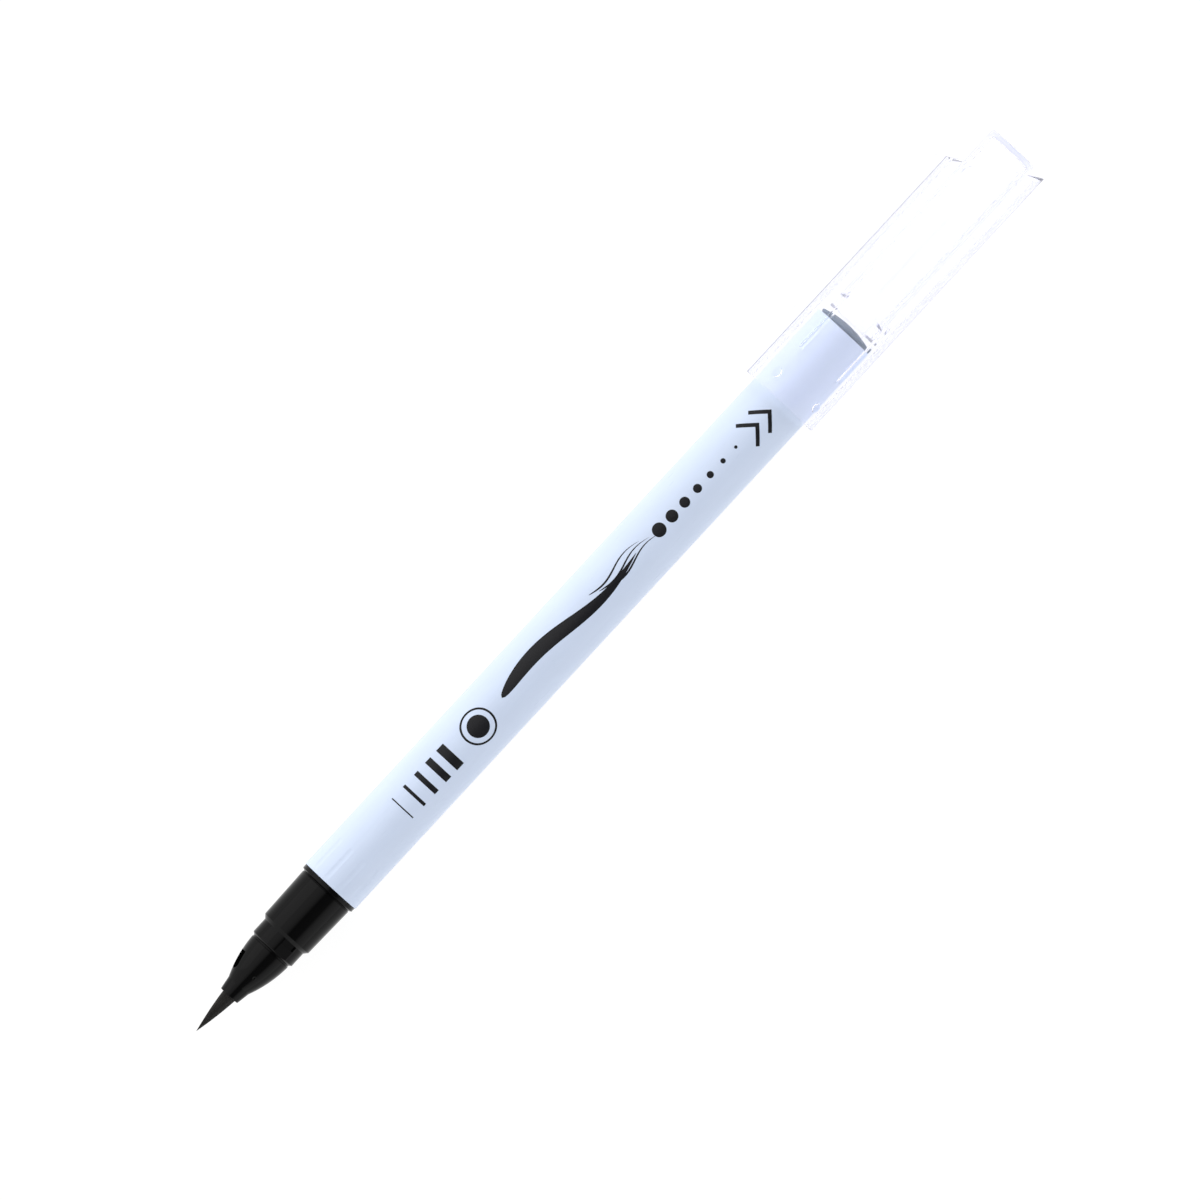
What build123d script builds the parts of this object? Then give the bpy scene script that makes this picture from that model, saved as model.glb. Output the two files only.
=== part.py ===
"""Brush pen, lying on its side, with the clear cap posted on its tail.

The pen's axis is the X axis, and the tip of the tuft points towards -X. A station is a distance
from the tip along the axis, towards the tail, and at() turns it into an X coordinate. The origin
is on the axis at mid-barrel. +Y is the side that the cap's fin stands on, and +Z is up. A turn is
an angle about the axis from +Z towards +Y.
"""

import os
from math import cos, radians

from build123d import *

# ---- driving dimensions, in millimetres and degrees ----

# front section
NOZZLE_MOUTH = 7.2  # station where the exposed tuft ends
NOZZLE_REAR = 9.3
CONE_MIDDLE = 12.4
CONE_REAR = 16.2
RING_FRONT = 16.8
RING_REAR = 19.3
GRIP_FRONT = 19.9
GRIP_REAR = 28.4
NOZZLE_RADIUS = 1.66
CONE_FRONT_RADIUS = 2.0
CONE_MIDDLE_RADIUS = 3.03
CONE_REAR_RADIUS = 3.57
RING_RADIUS = 3.88
GRIP_FRONT_RADIUS = 4.4
GRIP_REAR_RADIUS = 4.58
COLLAR_RADIUS = 4.92
COLLAR_DRAFT = 0.02  # how much smaller the collar is at its front
STEP_DEPTH = 0.08  # fine grooves and broken edges between the steps
NOZZLE_BORE = 1.2
SECTION_BORE = 2.5
SPIGOT_BORE = 3.2
SPIGOT_LENGTH = 10.0

# vent windows in the cone, and notches in the ring behind it
VENT_TURN = 72.0
VENT_FRONT = 10.75
VENT_REAR = 13.75
VENT_WIDTH = 2.1
VENT_FLOOR = 1.75
AIR_WAY_WIDTH = 0.8
NOTCH_TURN = -24.0
NOTCH_WIDTH = 2.3
NOTCH_DEPTH = 0.6
NOTCH_SETBACK = 1.6  # from the ring's front to the pocket
FLAT_DEPTH = 0.18
FLAT_WIDTH = 6.0
GATE_MARK = 11.7  # station of the small dimple on the cone
GATE_MARK_TURN = -21.0
GATE_MARK_RADIUS = 0.45
GATE_MARK_HEIGHT = 3.15  # of the centre of the sphere that cuts the dimple

# tuft and what feeds it
TUFT_RADIUS = 1.13
TUFT_MIDDLE_RADIUS = 0.66  # halfway along the exposed part
ROOT_RADIUS = 1.9
ROOT_LENGTH = 1.0
ROOT_STOP = 17.0  # station of the shoulder that the tuft's root sits on
RETAINER_FLANGE = 1.0
CORE_RADIUS = 1.0
CORE_CLEARANCE = 0.05
CORE_IN_WADDING = 6.0
WADDING_FRONT = 41.0
WADDING_REAR = 133.0
WADDING_RADIUS = 3.78
FILM_THICKNESS = 0.12

# barrel
BARREL_FRONT = 29.5
BARREL_REAR = 142.2
BARREL_RADIUS = 5.05
BARREL_BORE = 4.1
BARREL_EDGE = 0.15
POSTING_FRONT = 127.5  # station where the slight taper starts that the posted cap slides on
POSTING_TAPER = 0.02
FLUTES = 12
FLUTE_TURN = 15.0
FLUTE_SETBACK = 0.5
FLUTE_LENGTH = 6.0
FLUTE_WIDTH = 0.84
FLUTE_DEPTH = 0.06

# tail plug
PLUG_SPIGOT_LENGTH = 8.0
PLUG_WALL = 1.0
HEAD_RADIUS = 4.55
HEAD_LENGTH = 1.25
HEAD_SIDE = 0.3  # straight part of the head, before its rounded edge
HEAD_EDGE = 0.25
CROWN_RADIUS = 15.0  # of the sphere that the head's end is part of

# cap
CAP_RIM = 128.05
CAP_RADIUS = 6.53
CAP_BORE = 5.5
CAP_LENGTH_AT_AXIS = 47.5
SLANT = 29.5  # tilt of the cap's end from square, shorter on the fin's side
FIN_EDGE = 8.13  # distance of the fin's outer edge from the axis
FIN_THICKNESS = 1.6
FIN_ROUNDING = 0.35
SEAM_TURN = 176.25  # of the tube's seam, half a facet short of the lowest line
SLIDE_CLEARANCE = 0.05  # between the barrel and the cap's ribs and detents
GRIP_POINTS = 4
GRIP_TURN = 34.0  # turn of the first rib and detent
DETENT_SETBACK = 2.95  # from the rim
DETENT_RADIUS = 1.0
RIB_SETBACK = 8.0
RIB_LENGTH = 11.0
RIB_THICKNESS = 0.5

# inner cap
INNER_CAP_FRONT = 143.75
INNER_CAP_REAR = 179.7
INNER_CAP_RADIUS = 4.2
INNER_CAP_WALL = 0.95
INNER_CAP_CORNER = 0.8
MOUTH_FLARE = 0.4
LEAD_IN_BORE = 3.7  # wider bore behind the mouth
LEAD_IN_REAR = 146.0
LEAD_IN_TAPER = 0.6  # length of the cone between the two bores
DOME_RADIUS = 40.0
WEBS = 4
WEB_SETBACK = 6.0
WEB_LENGTH = 16.0
WEB_THICKNESS = 0.6

BITE = 0.3  # how far a joined or cutting piece reaches into its neighbour
ORIGIN_STATION = (BARREL_FRONT + BARREL_REAR) / 2


def at(station):
    return station - ORIGIN_STATION


def point(station, radius):
    return Vector(at(station), radius)


def path(*stops):
    """Straight runs through (station, radius) pairs."""
    return Polyline(*[point(*stop) for stop in stops])


def bow(start, middle, end):
    """One arc through three (station, radius) pairs."""
    return ThreePointArc(point(*start), point(*middle), point(*end))


def turned(*runs):
    """Solid of revolution about the pen's axis, from runs that close one outline."""
    return revolve(make_face(runs), Axis.X, 360)


def tube(front, rear, radius, bore=0.0):
    """Plain tube or rod between two stations."""
    outline = [(front, bore), (front, radius), (rear, radius), (rear, bore), (front, bore)]
    return turned(path(*outline))


def spoke(front, rear, inner, outer, width, turn):
    """Box that stands out from the axis, between two radii."""
    box = Box(rear - front, width, outer - inner)
    return Rot(X=-turn) * Pos(at((front + rear) / 2), 0, (inner + outer) / 2) * box


def even_turns(count, first=0.0):
    return [first + 360 * i / count for i in range(count)]


# ---- front section ----


def vent_window(turn):
    """Slot through the cone with a round front and a square rear, and an air way behind it."""
    reach = 2 * RING_RADIUS
    round_radius = VENT_WIDTH / 2
    round_centre = VENT_FRONT + round_radius
    slot = spoke(round_centre, VENT_REAR, VENT_FLOOR, reach, VENT_WIDTH, turn)
    round_end = Cylinder(round_radius, reach - VENT_FLOOR)
    round_end = Rot(X=-turn) * Pos(at(round_centre), 0, (VENT_FLOOR + reach) / 2) * round_end
    air_way_rear = ROOT_STOP + ROOT_LENGTH
    air_way = spoke(round_centre, air_way_rear, VENT_FLOOR, SECTION_BORE, AIR_WAY_WIDTH, turn)
    return slot + round_end + air_way


def ring_notch(turn):
    """Flat on the ring, with a deeper pocket behind it."""
    reach = 2 * RING_RADIUS
    flat_front = RING_FRONT - BITE
    pocket_front = RING_FRONT + NOTCH_SETBACK
    flat = spoke(flat_front, pocket_front, RING_RADIUS - FLAT_DEPTH, reach, FLAT_WIDTH, turn)
    pocket = spoke(pocket_front, RING_REAR, RING_RADIUS - NOTCH_DEPTH, reach, NOTCH_WIDTH, turn)
    return flat + pocket


def make_front_section():
    spigot_rear = BARREL_FRONT + SPIGOT_LENGTH
    nozzle = path(
        (NOZZLE_MOUTH, NOZZLE_BORE),
        (NOZZLE_MOUTH, NOZZLE_RADIUS - STEP_DEPTH),
        (NOZZLE_MOUTH + STEP_DEPTH, NOZZLE_RADIUS),
        (NOZZLE_REAR, CONE_FRONT_RADIUS),
    )
    cone = bow(
        (NOZZLE_REAR, CONE_FRONT_RADIUS),
        (CONE_MIDDLE, CONE_MIDDLE_RADIUS),
        (CONE_REAR, CONE_REAR_RADIUS),
    )
    steps = path(
        (CONE_REAR, CONE_REAR_RADIUS),
        (CONE_REAR + STEP_DEPTH, CONE_REAR_RADIUS - STEP_DEPTH),
        (RING_FRONT - 4 * STEP_DEPTH, CONE_REAR_RADIUS - STEP_DEPTH),
        (RING_FRONT, RING_RADIUS),
        (RING_REAR, RING_RADIUS),
        (GRIP_FRONT - STEP_DEPTH, GRIP_FRONT_RADIUS - STEP_DEPTH),
        (GRIP_FRONT + STEP_DEPTH, GRIP_FRONT_RADIUS),
        (GRIP_REAR, GRIP_REAR_RADIUS),
        (GRIP_REAR + STEP_DEPTH, GRIP_REAR_RADIUS - STEP_DEPTH),
        (GRIP_REAR + 2 * STEP_DEPTH, GRIP_REAR_RADIUS - STEP_DEPTH),
        (GRIP_REAR + 4 * STEP_DEPTH, COLLAR_RADIUS - STEP_DEPTH),
        (GRIP_REAR + 5 * STEP_DEPTH, COLLAR_RADIUS - COLLAR_DRAFT),
        (BARREL_FRONT, COLLAR_RADIUS),
        (BARREL_FRONT, BARREL_BORE),
        (spigot_rear - BITE, BARREL_BORE),
        (spigot_rear, BARREL_BORE - BITE),
        (spigot_rear, SPIGOT_BORE),
        (GRIP_REAR, SPIGOT_BORE),
        (GRIP_REAR, SECTION_BORE),
        (ROOT_STOP, SECTION_BORE),
        (ROOT_STOP, NOZZLE_BORE),
        (NOZZLE_MOUTH, NOZZLE_BORE),
    )
    section = turned(nozzle, cone, steps)
    for turn in even_turns(2, VENT_TURN):
        section -= vent_window(turn)
    for turn in even_turns(2, NOTCH_TURN):
        section -= ring_notch(turn)
    gate_mark = Pos(at(GATE_MARK), 0, GATE_MARK_HEIGHT) * Sphere(GATE_MARK_RADIUS)
    return section - Rot(X=-GATE_MARK_TURN) * gate_mark


# ---- tuft and what feeds it ----


def make_brush_tuft():
    """Filaments drawn to a point, with the root melted into a small flange."""
    drawn_point = bow((0, 0), (NOZZLE_MOUTH / 2, TUFT_MIDDLE_RADIUS), (NOZZLE_MOUTH, TUFT_RADIUS))
    shank = path(
        (NOZZLE_MOUTH, TUFT_RADIUS),
        (ROOT_STOP, TUFT_RADIUS),
        (ROOT_STOP, ROOT_RADIUS),
        (ROOT_STOP + ROOT_LENGTH, ROOT_RADIUS),
        (ROOT_STOP + ROOT_LENGTH, 0),
        (0, 0),
    )
    return turned(drawn_point, shank)


def make_tuft_retainer():
    """Flanged tube that holds the tuft's root against its shoulder."""
    bore = CORE_RADIUS + CORE_CLEARANCE
    body = tube(ROOT_STOP + ROOT_LENGTH, GRIP_REAR, SECTION_BORE, bore)
    return body + tube(GRIP_REAR, GRIP_REAR + RETAINER_FLANGE, SPIGOT_BORE, bore)


def make_relay_core():
    return tube(ROOT_STOP + ROOT_LENGTH, WADDING_FRONT + CORE_IN_WADDING, CORE_RADIUS)


def make_ink_wadding():
    wadding = tube(WADDING_FRONT, WADDING_REAR, WADDING_RADIUS)
    return wadding - tube(WADDING_FRONT, WADDING_FRONT + CORE_IN_WADDING, CORE_RADIUS)


def make_wadding_film():
    outer = WADDING_RADIUS + FILM_THICKNESS
    return tube(WADDING_FRONT, WADDING_REAR, outer, WADDING_RADIUS)


# ---- barrel and tail plug ----


def make_barrel():
    barrel = turned(
        path(
            (BARREL_FRONT, BARREL_BORE),
            (BARREL_FRONT, BARREL_RADIUS - BARREL_EDGE),
            (BARREL_FRONT + BARREL_EDGE, BARREL_RADIUS),
            (POSTING_FRONT, BARREL_RADIUS),
            (BARREL_REAR - BARREL_EDGE, BARREL_RADIUS - POSTING_TAPER),
            (BARREL_REAR, BARREL_RADIUS - BARREL_EDGE),
            (BARREL_REAR, BARREL_BORE),
            (BARREL_FRONT, BARREL_BORE),
        )
    )
    # a round cutter that leaves a groove of the stated width and depth
    cutter_radius = (FLUTE_WIDTH**2 / 4 + FLUTE_DEPTH**2) / (2 * FLUTE_DEPTH)
    cutter_x = at(BARREL_FRONT + FLUTE_SETBACK + FLUTE_LENGTH / 2)
    cutter_z = BARREL_RADIUS - FLUTE_DEPTH + cutter_radius
    cutter = Rot(Y=90) * Cylinder(cutter_radius, FLUTE_LENGTH)
    for turn in even_turns(FLUTES, FLUTE_TURN):
        barrel -= Rot(X=-turn) * Pos(cutter_x, 0, cutter_z) * cutter
    return barrel


def make_tail_plug():
    """Hollow spigot pressed into the barrel, and a shallow domed head."""
    head_rear = BARREL_REAR + HEAD_LENGTH
    edge_rear = BARREL_REAR + HEAD_SIDE + HEAD_EDGE
    edge_inner = HEAD_RADIUS - HEAD_EDGE
    bend = HEAD_EDGE * (1 - cos(radians(45)))
    spigot_front = BARREL_REAR - PLUG_SPIGOT_LENGTH
    floor = BARREL_REAR - PLUG_WALL / 2
    bore = BARREL_BORE - PLUG_WALL
    inside_and_side = path(
        (head_rear, 0),
        (floor, 0),
        (floor, bore),
        (spigot_front, bore),
        (spigot_front, BARREL_BORE - BITE),
        (spigot_front + BITE, BARREL_BORE),
        (BARREL_REAR, BARREL_BORE),
        (BARREL_REAR, HEAD_RADIUS),
        (BARREL_REAR + HEAD_SIDE, HEAD_RADIUS),
    )
    edge = bow(
        (BARREL_REAR + HEAD_SIDE, HEAD_RADIUS),
        (edge_rear - bend, HEAD_RADIUS - bend),
        (edge_rear, edge_inner),
    )
    end = path((edge_rear, edge_inner), (head_rear, edge_inner), (head_rear, 0))
    crown = Pos(at(head_rear) - CROWN_RADIUS) * Sphere(CROWN_RADIUS)
    return turned(inside_and_side, edge, end) & crown


# ---- cap ----


def slanted_end():
    """Everything past the plane that cuts the cap's end on a slant."""
    reach = 10 * CAP_RADIUS
    block = Box(reach, reach, reach, align=(Align.MIN, Align.CENTER, Align.CENTER))
    return Pos(at(CAP_RIM + CAP_LENGTH_AT_AXIS), 0, 0) * Rot(Z=SLANT) * block


def fin(rear):
    """Flat fin with its two long outer edges rounded, rooted inside the cap's wall."""
    root = CAP_BORE + BITE
    block = Box(rear - CAP_RIM, FIN_EDGE - root, FIN_THICKNESS)
    block = Pos(at((CAP_RIM + rear) / 2), (root + FIN_EDGE) / 2, 0) * block
    return fillet(block.edges().filter_by(Axis.X).group_by(Axis.Y)[-1], FIN_ROUNDING)


def make_cap_shell():
    longest = CAP_RIM + CAP_LENGTH_AT_AXIS + CAP_RADIUS
    # with the seam turned there, the faceted model rests on a flat
    wall = Rot(X=90 - SEAM_TURN) * tube(CAP_RIM, longest, CAP_RADIUS, CAP_BORE)
    shell = wall + fin(longest) - slanted_end()
    held = BARREL_RADIUS + SLIDE_CLEARANCE
    inside = tube(CAP_RIM, longest, CAP_BORE + BITE)
    detent_x = at(CAP_RIM + DETENT_SETBACK)
    rib_front = CAP_RIM + RIB_SETBACK
    rib_rear = rib_front + RIB_LENGTH
    for turn in even_turns(GRIP_POINTS, GRIP_TURN):
        detent = Rot(X=-turn) * Pos(detent_x, 0, held + DETENT_RADIUS) * Sphere(DETENT_RADIUS)
        rib = spoke(rib_front, rib_rear, held, CAP_BORE + BITE, RIB_THICKNESS, turn)
        shell += (detent + rib) & inside
    return shell


def make_inner_cap():
    """Cup with a rounded, slightly domed end, and four webs that are pressed into the shell."""
    bore = INNER_CAP_RADIUS - INNER_CAP_WALL
    floor = INNER_CAP_REAR - INNER_CAP_WALL
    corner_front = INNER_CAP_REAR - INNER_CAP_CORNER
    corner_inner = INNER_CAP_RADIUS - INNER_CAP_CORNER
    straight = path(
        (INNER_CAP_REAR, 0),
        (floor, 0),
        (floor, bore),
        (LEAD_IN_REAR + LEAD_IN_TAPER, bore),
        (LEAD_IN_REAR, LEAD_IN_BORE),
        (INNER_CAP_FRONT + MOUTH_FLARE, LEAD_IN_BORE),
        (INNER_CAP_FRONT, LEAD_IN_BORE + MOUTH_FLARE),
        (INNER_CAP_FRONT, INNER_CAP_RADIUS),
        (corner_front, INNER_CAP_RADIUS),
    )
    bend = INNER_CAP_CORNER * (1 - cos(radians(45)))
    rounded = bow(
        (corner_front, INNER_CAP_RADIUS),
        (INNER_CAP_REAR - bend, INNER_CAP_RADIUS - bend),
        (INNER_CAP_REAR, corner_inner),
    )
    end = path((INNER_CAP_REAR, corner_inner), (INNER_CAP_REAR, 0))
    dome = Pos(at(INNER_CAP_REAR) - DOME_RADIUS) * Sphere(DOME_RADIUS)
    cup = turned(straight, rounded, end) & dome
    bore_of_shell = tube(CAP_RIM, INNER_CAP_REAR, CAP_BORE)
    web_front = INNER_CAP_FRONT + WEB_SETBACK
    web_rear = web_front + WEB_LENGTH
    for turn in even_turns(WEBS):
        web = spoke(web_front, web_rear, bore + BITE, CAP_BORE + BITE, WEB_THICKNESS, turn)
        cup += web & bore_of_shell
    return cup


NODES = {
    "brush_tuft": make_brush_tuft,
    "front_section": make_front_section,
    "tuft_retainer": make_tuft_retainer,
    "relay_core": make_relay_core,
    "ink_wadding": make_ink_wadding,
    "wadding_film": make_wadding_film,
    "barrel": make_barrel,
    "tail_plug": make_tail_plug,
    "cap_shell": make_cap_shell,
    "inner_cap": make_inner_cap,
}

os.makedirs("parts", exist_ok=True)
for name, make in NODES.items():
    export_step(make(), f"parts/{name}.step")
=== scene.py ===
"""Looks of the brush pen: fine meshes, procedural materials, soft studio light and the camera.

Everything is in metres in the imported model's frame: the pen's axis is the X axis, the tuft
points towards -X, the cap's fin stands towards +Y, and +Z is up. A station is a distance in
millimetres from the tuft's tip along the axis, and a turn is an angle about the axis from +Z
towards +Y.
"""

import math
import random

import bmesh
import bpy
from mathutils import Matrix, Vector


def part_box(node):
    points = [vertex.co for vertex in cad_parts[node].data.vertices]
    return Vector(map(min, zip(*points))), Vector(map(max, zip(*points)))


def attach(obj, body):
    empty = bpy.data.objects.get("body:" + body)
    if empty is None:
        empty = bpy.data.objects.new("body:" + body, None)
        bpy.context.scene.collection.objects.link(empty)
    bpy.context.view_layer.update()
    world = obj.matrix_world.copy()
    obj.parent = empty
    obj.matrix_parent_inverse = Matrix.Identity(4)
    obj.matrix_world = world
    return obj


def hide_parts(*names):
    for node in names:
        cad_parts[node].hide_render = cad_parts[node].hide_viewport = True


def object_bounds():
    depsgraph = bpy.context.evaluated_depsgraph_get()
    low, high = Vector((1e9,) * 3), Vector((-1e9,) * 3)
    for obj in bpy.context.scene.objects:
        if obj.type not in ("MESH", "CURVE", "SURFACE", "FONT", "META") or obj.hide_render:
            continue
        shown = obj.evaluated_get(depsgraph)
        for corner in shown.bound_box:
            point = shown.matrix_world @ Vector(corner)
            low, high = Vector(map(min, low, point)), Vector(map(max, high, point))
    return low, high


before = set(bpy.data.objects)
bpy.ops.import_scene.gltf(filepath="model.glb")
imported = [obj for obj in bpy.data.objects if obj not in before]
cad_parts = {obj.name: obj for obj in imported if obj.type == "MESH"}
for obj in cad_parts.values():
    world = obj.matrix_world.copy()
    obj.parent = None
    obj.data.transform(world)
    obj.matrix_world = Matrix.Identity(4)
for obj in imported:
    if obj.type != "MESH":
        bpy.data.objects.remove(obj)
CAD_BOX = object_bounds()
MM = 0.001

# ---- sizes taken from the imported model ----


def span(node):
    """Front and rear X of a node, and its radius from its height."""
    low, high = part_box(node)
    return low.x, high.x, (high.z - low.z) / 2


TIP, _, _ = span("brush_tuft")
NOZZLE_MOUTH, SPIGOT_REAR, _ = span("front_section")
BARREL_FRONT, BARREL_REAR, BARREL_RADIUS = span("barrel")
PLUG_FRONT, PLUG_REAR, PLUG_RADIUS = span("tail_plug")
CAP_RIM, CAP_REAR, CAP_RADIUS = span("cap_shell")
INNER_CAP_FRONT, INNER_CAP_REAR, CAP_BORE = span("inner_cap")
FIN_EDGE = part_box("cap_shell")[1].y
FLOOR_Z = CAD_BOX[0].z


def at(station):
    return TIP + station * MM


# ---- details that the boxes don't give ----

ROUND = 192  # segments round the large turned pieces
BREAK = 0.06 * MM  # rounding of small moulded edges
HOLD = 0.03 * MM  # distance from a rounding to the ring that keeps its neighbour flat

NOZZLE_REAR = at(9.3)
CONE_MIDDLE = at(12.4)
CONE_REAR = at(16.2)
RING_FRONT = at(16.8)
RING_REAR = at(19.3)
GRIP_FRONT = at(19.9)
GRIP_REAR = at(28.4)
NOZZLE_BORE = 1.2 * MM
NOZZLE_RADIUS = 1.66 * MM
CONE_FRONT_RADIUS = 2.0 * MM
CONE_MIDDLE_RADIUS = 3.03 * MM
CONE_REAR_RADIUS = 3.57 * MM
RING_RADIUS = 3.88 * MM
GRIP_FRONT_RADIUS = 4.4 * MM
GRIP_REAR_RADIUS = 4.58 * MM
COLLAR_RADIUS = 4.92 * MM
STEP_DEPTH = 0.08 * MM
CUT_EDGE = 14.0  # degrees; keeps the edges of the shallow flats sharp
SPIGOT_RADIUS = 4.1 * MM
SPIGOT_BORE = 3.2 * MM
ROOT_STOP = at(17.0)

VENT_TURN = math.radians(72)
VENT_FRONT = at(10.75)
VENT_REAR = at(13.75)
VENT_HALF_WIDTH = 1.05 * MM
VENT_FLOOR = 1.75 * MM
NOTCH_TURN = math.radians(-24)
NOTCH_FRONT = at(18.4)
NOTCH_HALF_WIDTH = 1.15 * MM
NOTCH_DEPTH = 0.6 * MM
FLAT_DEPTH = 0.18 * MM
GATE_MARK = at(11.7)
GATE_MARK_TURN = math.radians(-21)
GATE_MARK_RADIUS = 0.45 * MM
GATE_MARK_HEIGHT = 3.15 * MM

TUFT_RADIUS = 1.18 * MM
TUFT_BULGE = 0.36  # how much faster than evenly the tuft swells from its tip
TUFT_SCATTER = 2.6 * MM  # the last hair ends this far short of the tip
HAIR_LAYERS = {1.0: 92, 0.9: 84, 0.78: 70, 0.62: 54, 0.45: 38, 0.25: 20}  # depth: hairs

FLUTES = 12
FLUTE_TURN = math.radians(15)
FLUTE_FRONT = at(30.0)
FLUTE_LENGTH = 6.0 * MM
FLUTE_HALF_WIDTH = 0.42 * MM
FLUTE_DEPTH = 0.06 * MM

POSTING_FRONT = at(127.5)
POSTING_TAPER = 0.02 * MM
JOINT_STEP = 0.12 * MM  # thin groove between the barrel and the plug's head
PLUG_WALL = 1.0 * MM
HEAD_EDGE = 0.25 * MM
CROWN_RADIUS = 15 * MM

SLANT = math.radians(29.5)
FIN_HALF_THICKNESS = 0.8 * MM
FIN_ROUNDING = 0.35 * MM
FIN_ROOT_ROUNDING = 0.08 * MM
GRIP_TURN = math.radians(34)
GRIP_REACH = 5.1 * MM
GRIP_ROOT = CAP_BORE + 0.3 * MM
DETENT = CAP_RIM + 2.95 * MM
DETENT_RADIUS = 1.0 * MM
RIB_FRONT = CAP_RIM + 8 * MM
RIB_REAR = CAP_RIM + 19 * MM
RIB_HALF_THICKNESS = 0.25 * MM

INNER_CAP_RADIUS = 4.2 * MM
INNER_CAP_WALL = 0.95 * MM
INNER_CAP_CORNER = 0.8 * MM
MOUTH_FLARE = 0.4 * MM
LEAD_IN_BORE = 3.7 * MM
LEAD_IN_REAR = at(146.0)
LEAD_IN_TAPER = 0.6 * MM
DOME_RADIUS = 40 * MM
FLOOR_ROUNDING = 0.4 * MM
WALL_ROUNDING = 0.2 * MM
WEB_FRONT = INNER_CAP_FRONT + 6 * MM
WEB_REAR = INNER_CAP_FRONT + 22 * MM
WEB_HALF_THICKNESS = 0.3 * MM
WEB_GAP = 0.02 * MM
WEB_BITE = 0.4 * MM  # how far a web reaches into the inner cap's wall

LINE_HALF_WIDTH = 0.16 * MM
INK_PROUD = 0.014 * MM  # how far the print stands out of the barrel
INK_DEPTH = 0.01 * MM  # how far it reaches in
FINEST_INK = 0.004 * MM
BARS_FRONT = at(45.4)
BAR_STEP = 2.6 * MM
BAR_HALF_HEIGHT = 2.2 * MM
THINNEST_BAR = 0.1 * MM  # half widths
BAR_GROWTH = 0.16 * MM
SWATCH = at(62.0)
SWATCH_RING_RADIUS = 2.7 * MM
SWATCH_RADIUS = 1.75 * MM
STROKE_FRONT = at(67.5)
STROKE_LENGTH = 29.5 * MM
STROKE_HALF_WIDTH = 1.15 * MM
HAIRS_FRONT = at(87.5)
HAIR_STEP = 1.5 * MM
HAIR_LENGTH = 11 * MM
DOTS_FRONT = at(101.8)
DOT_STEP = 2.8 * MM
FIRST_DOT_RADIUS = 1.1 * MM
DOT_SHRINK = 0.14 * MM
CHEVRONS = (at(120.9), at(123.6))
CHEVRON_REACH = 2.3 * MM
CHEVRON_HALF_WIDTH = 0.3 * MM

CLEAR_IOR = 1.18
CLEAR_HAZE = 0.06
CLEAR_PAINTED_GLOW = 0.03  # painted light: a faint glow that stands in for light gathered inside the clear walls
CLEAR_DENSITY = 58.0


# ---- mesh helpers ----


def add_object(name, mesh):
    piece = bpy.data.objects.new(name, mesh)
    bpy.context.scene.collection.objects.link(piece)
    return piece


def shade(mesh, sharp_angle=32.0):
    """Smooth faces, with the edges that turn more than the angle left sharp."""
    work = bmesh.new()
    work.from_mesh(mesh)
    bmesh.ops.recalc_face_normals(work, faces=work.faces)
    limit = math.radians(sharp_angle)
    for face in work.faces:
        face.smooth = True
    for edge in work.edges:
        edge.smooth = edge.is_manifold and edge.calc_face_angle(0.0) < limit
    work.to_mesh(mesh)
    work.free()


def mesh_from(name, vertices, faces, sharp_angle=32.0):
    mesh = bpy.data.meshes.new(name)
    mesh.from_pydata(vertices, [], faces)
    mesh.validate()
    shade(mesh, sharp_angle)
    return mesh


def soften(corners, radius, steps=5):
    """Outline with each inner corner replaced by an arc of at most the stated radius."""
    softened = [Vector(corners[0])]
    for before, corner, after in zip(corners, corners[1:], corners[2:]):
        corner = Vector(corner)
        back = Vector(before) - corner
        ahead = Vector(after) - corner
        half = back.angle(ahead, math.pi) / 2
        if half > math.radians(86):
            softened.append(corner)
            continue
        reach = min(radius / math.tan(half), 0.45 * back.length, 0.45 * ahead.length)
        arc_radius = reach * math.tan(half)
        middle = (back.normalized() + ahead.normalized()).normalized()
        centre = corner + middle * (arc_radius / math.sin(half))
        start = back.normalized() * reach + corner - centre
        turn = start.angle_signed(ahead.normalized() * reach + corner - centre)
        for step in range(steps + 1):
            softened.append(centre + Matrix.Rotation(-turn * step / steps, 2) @ start)
    softened.append(Vector(corners[-1]))
    return softened


def hold_flats(points, closed=False):
    """Adds a point beside each marked turn on a long straight run, so that it shades flat."""
    count = len(points)
    points = [Vector(point) for point in points]

    def turns_at(i):
        if not closed and i in (0, count - 1):
            return False
        back = points[i] - points[i - 1]
        ahead = points[(i + 1) % count] - points[i]
        return back.angle(ahead, 0.0) > math.radians(4)

    held = []
    for i in range(count if closed else count - 1):
        start, end = points[i], points[(i + 1) % count]
        length = (end - start).length
        held.append(start)
        if length > 6 * HOLD and turns_at(i):
            held.append(start.lerp(end, HOLD / length))
        if length > 6 * HOLD and turns_at((i + 1) % count):
            held.append(end.lerp(start, HOLD / length))
    return held if closed else held + [points[-1]]


def arc_through(start, middle, end, steps):
    """Points on the circle through three (x, radius) points."""
    a, b, c = Vector(start), Vector(middle), Vector(end)
    cross = 2 * (a.x * (b.y - c.y) + b.x * (c.y - a.y) + c.x * (a.y - b.y))
    one, two, three = a.length_squared, b.length_squared, c.length_squared
    centre_x = (one * (b.y - c.y) + two * (c.y - a.y) + three * (a.y - b.y)) / cross
    centre_y = (one * (c.x - b.x) + two * (a.x - c.x) + three * (b.x - a.x)) / cross
    centre = Vector((centre_x, centre_y))
    turn = (a - centre).angle_signed(c - centre)
    return [centre + Matrix.Rotation(-turn * i / steps, 2) @ (a - centre) for i in range(steps + 1)]


def sphere_drop(sphere_radius, radius):
    """How far a sphere has fallen from its top at a distance from its axis."""
    return sphere_radius - math.sqrt(sphere_radius**2 - radius**2)


def ring_point(x, radius, turn):
    return (x, radius * math.sin(turn), radius * math.cos(turn))


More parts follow.
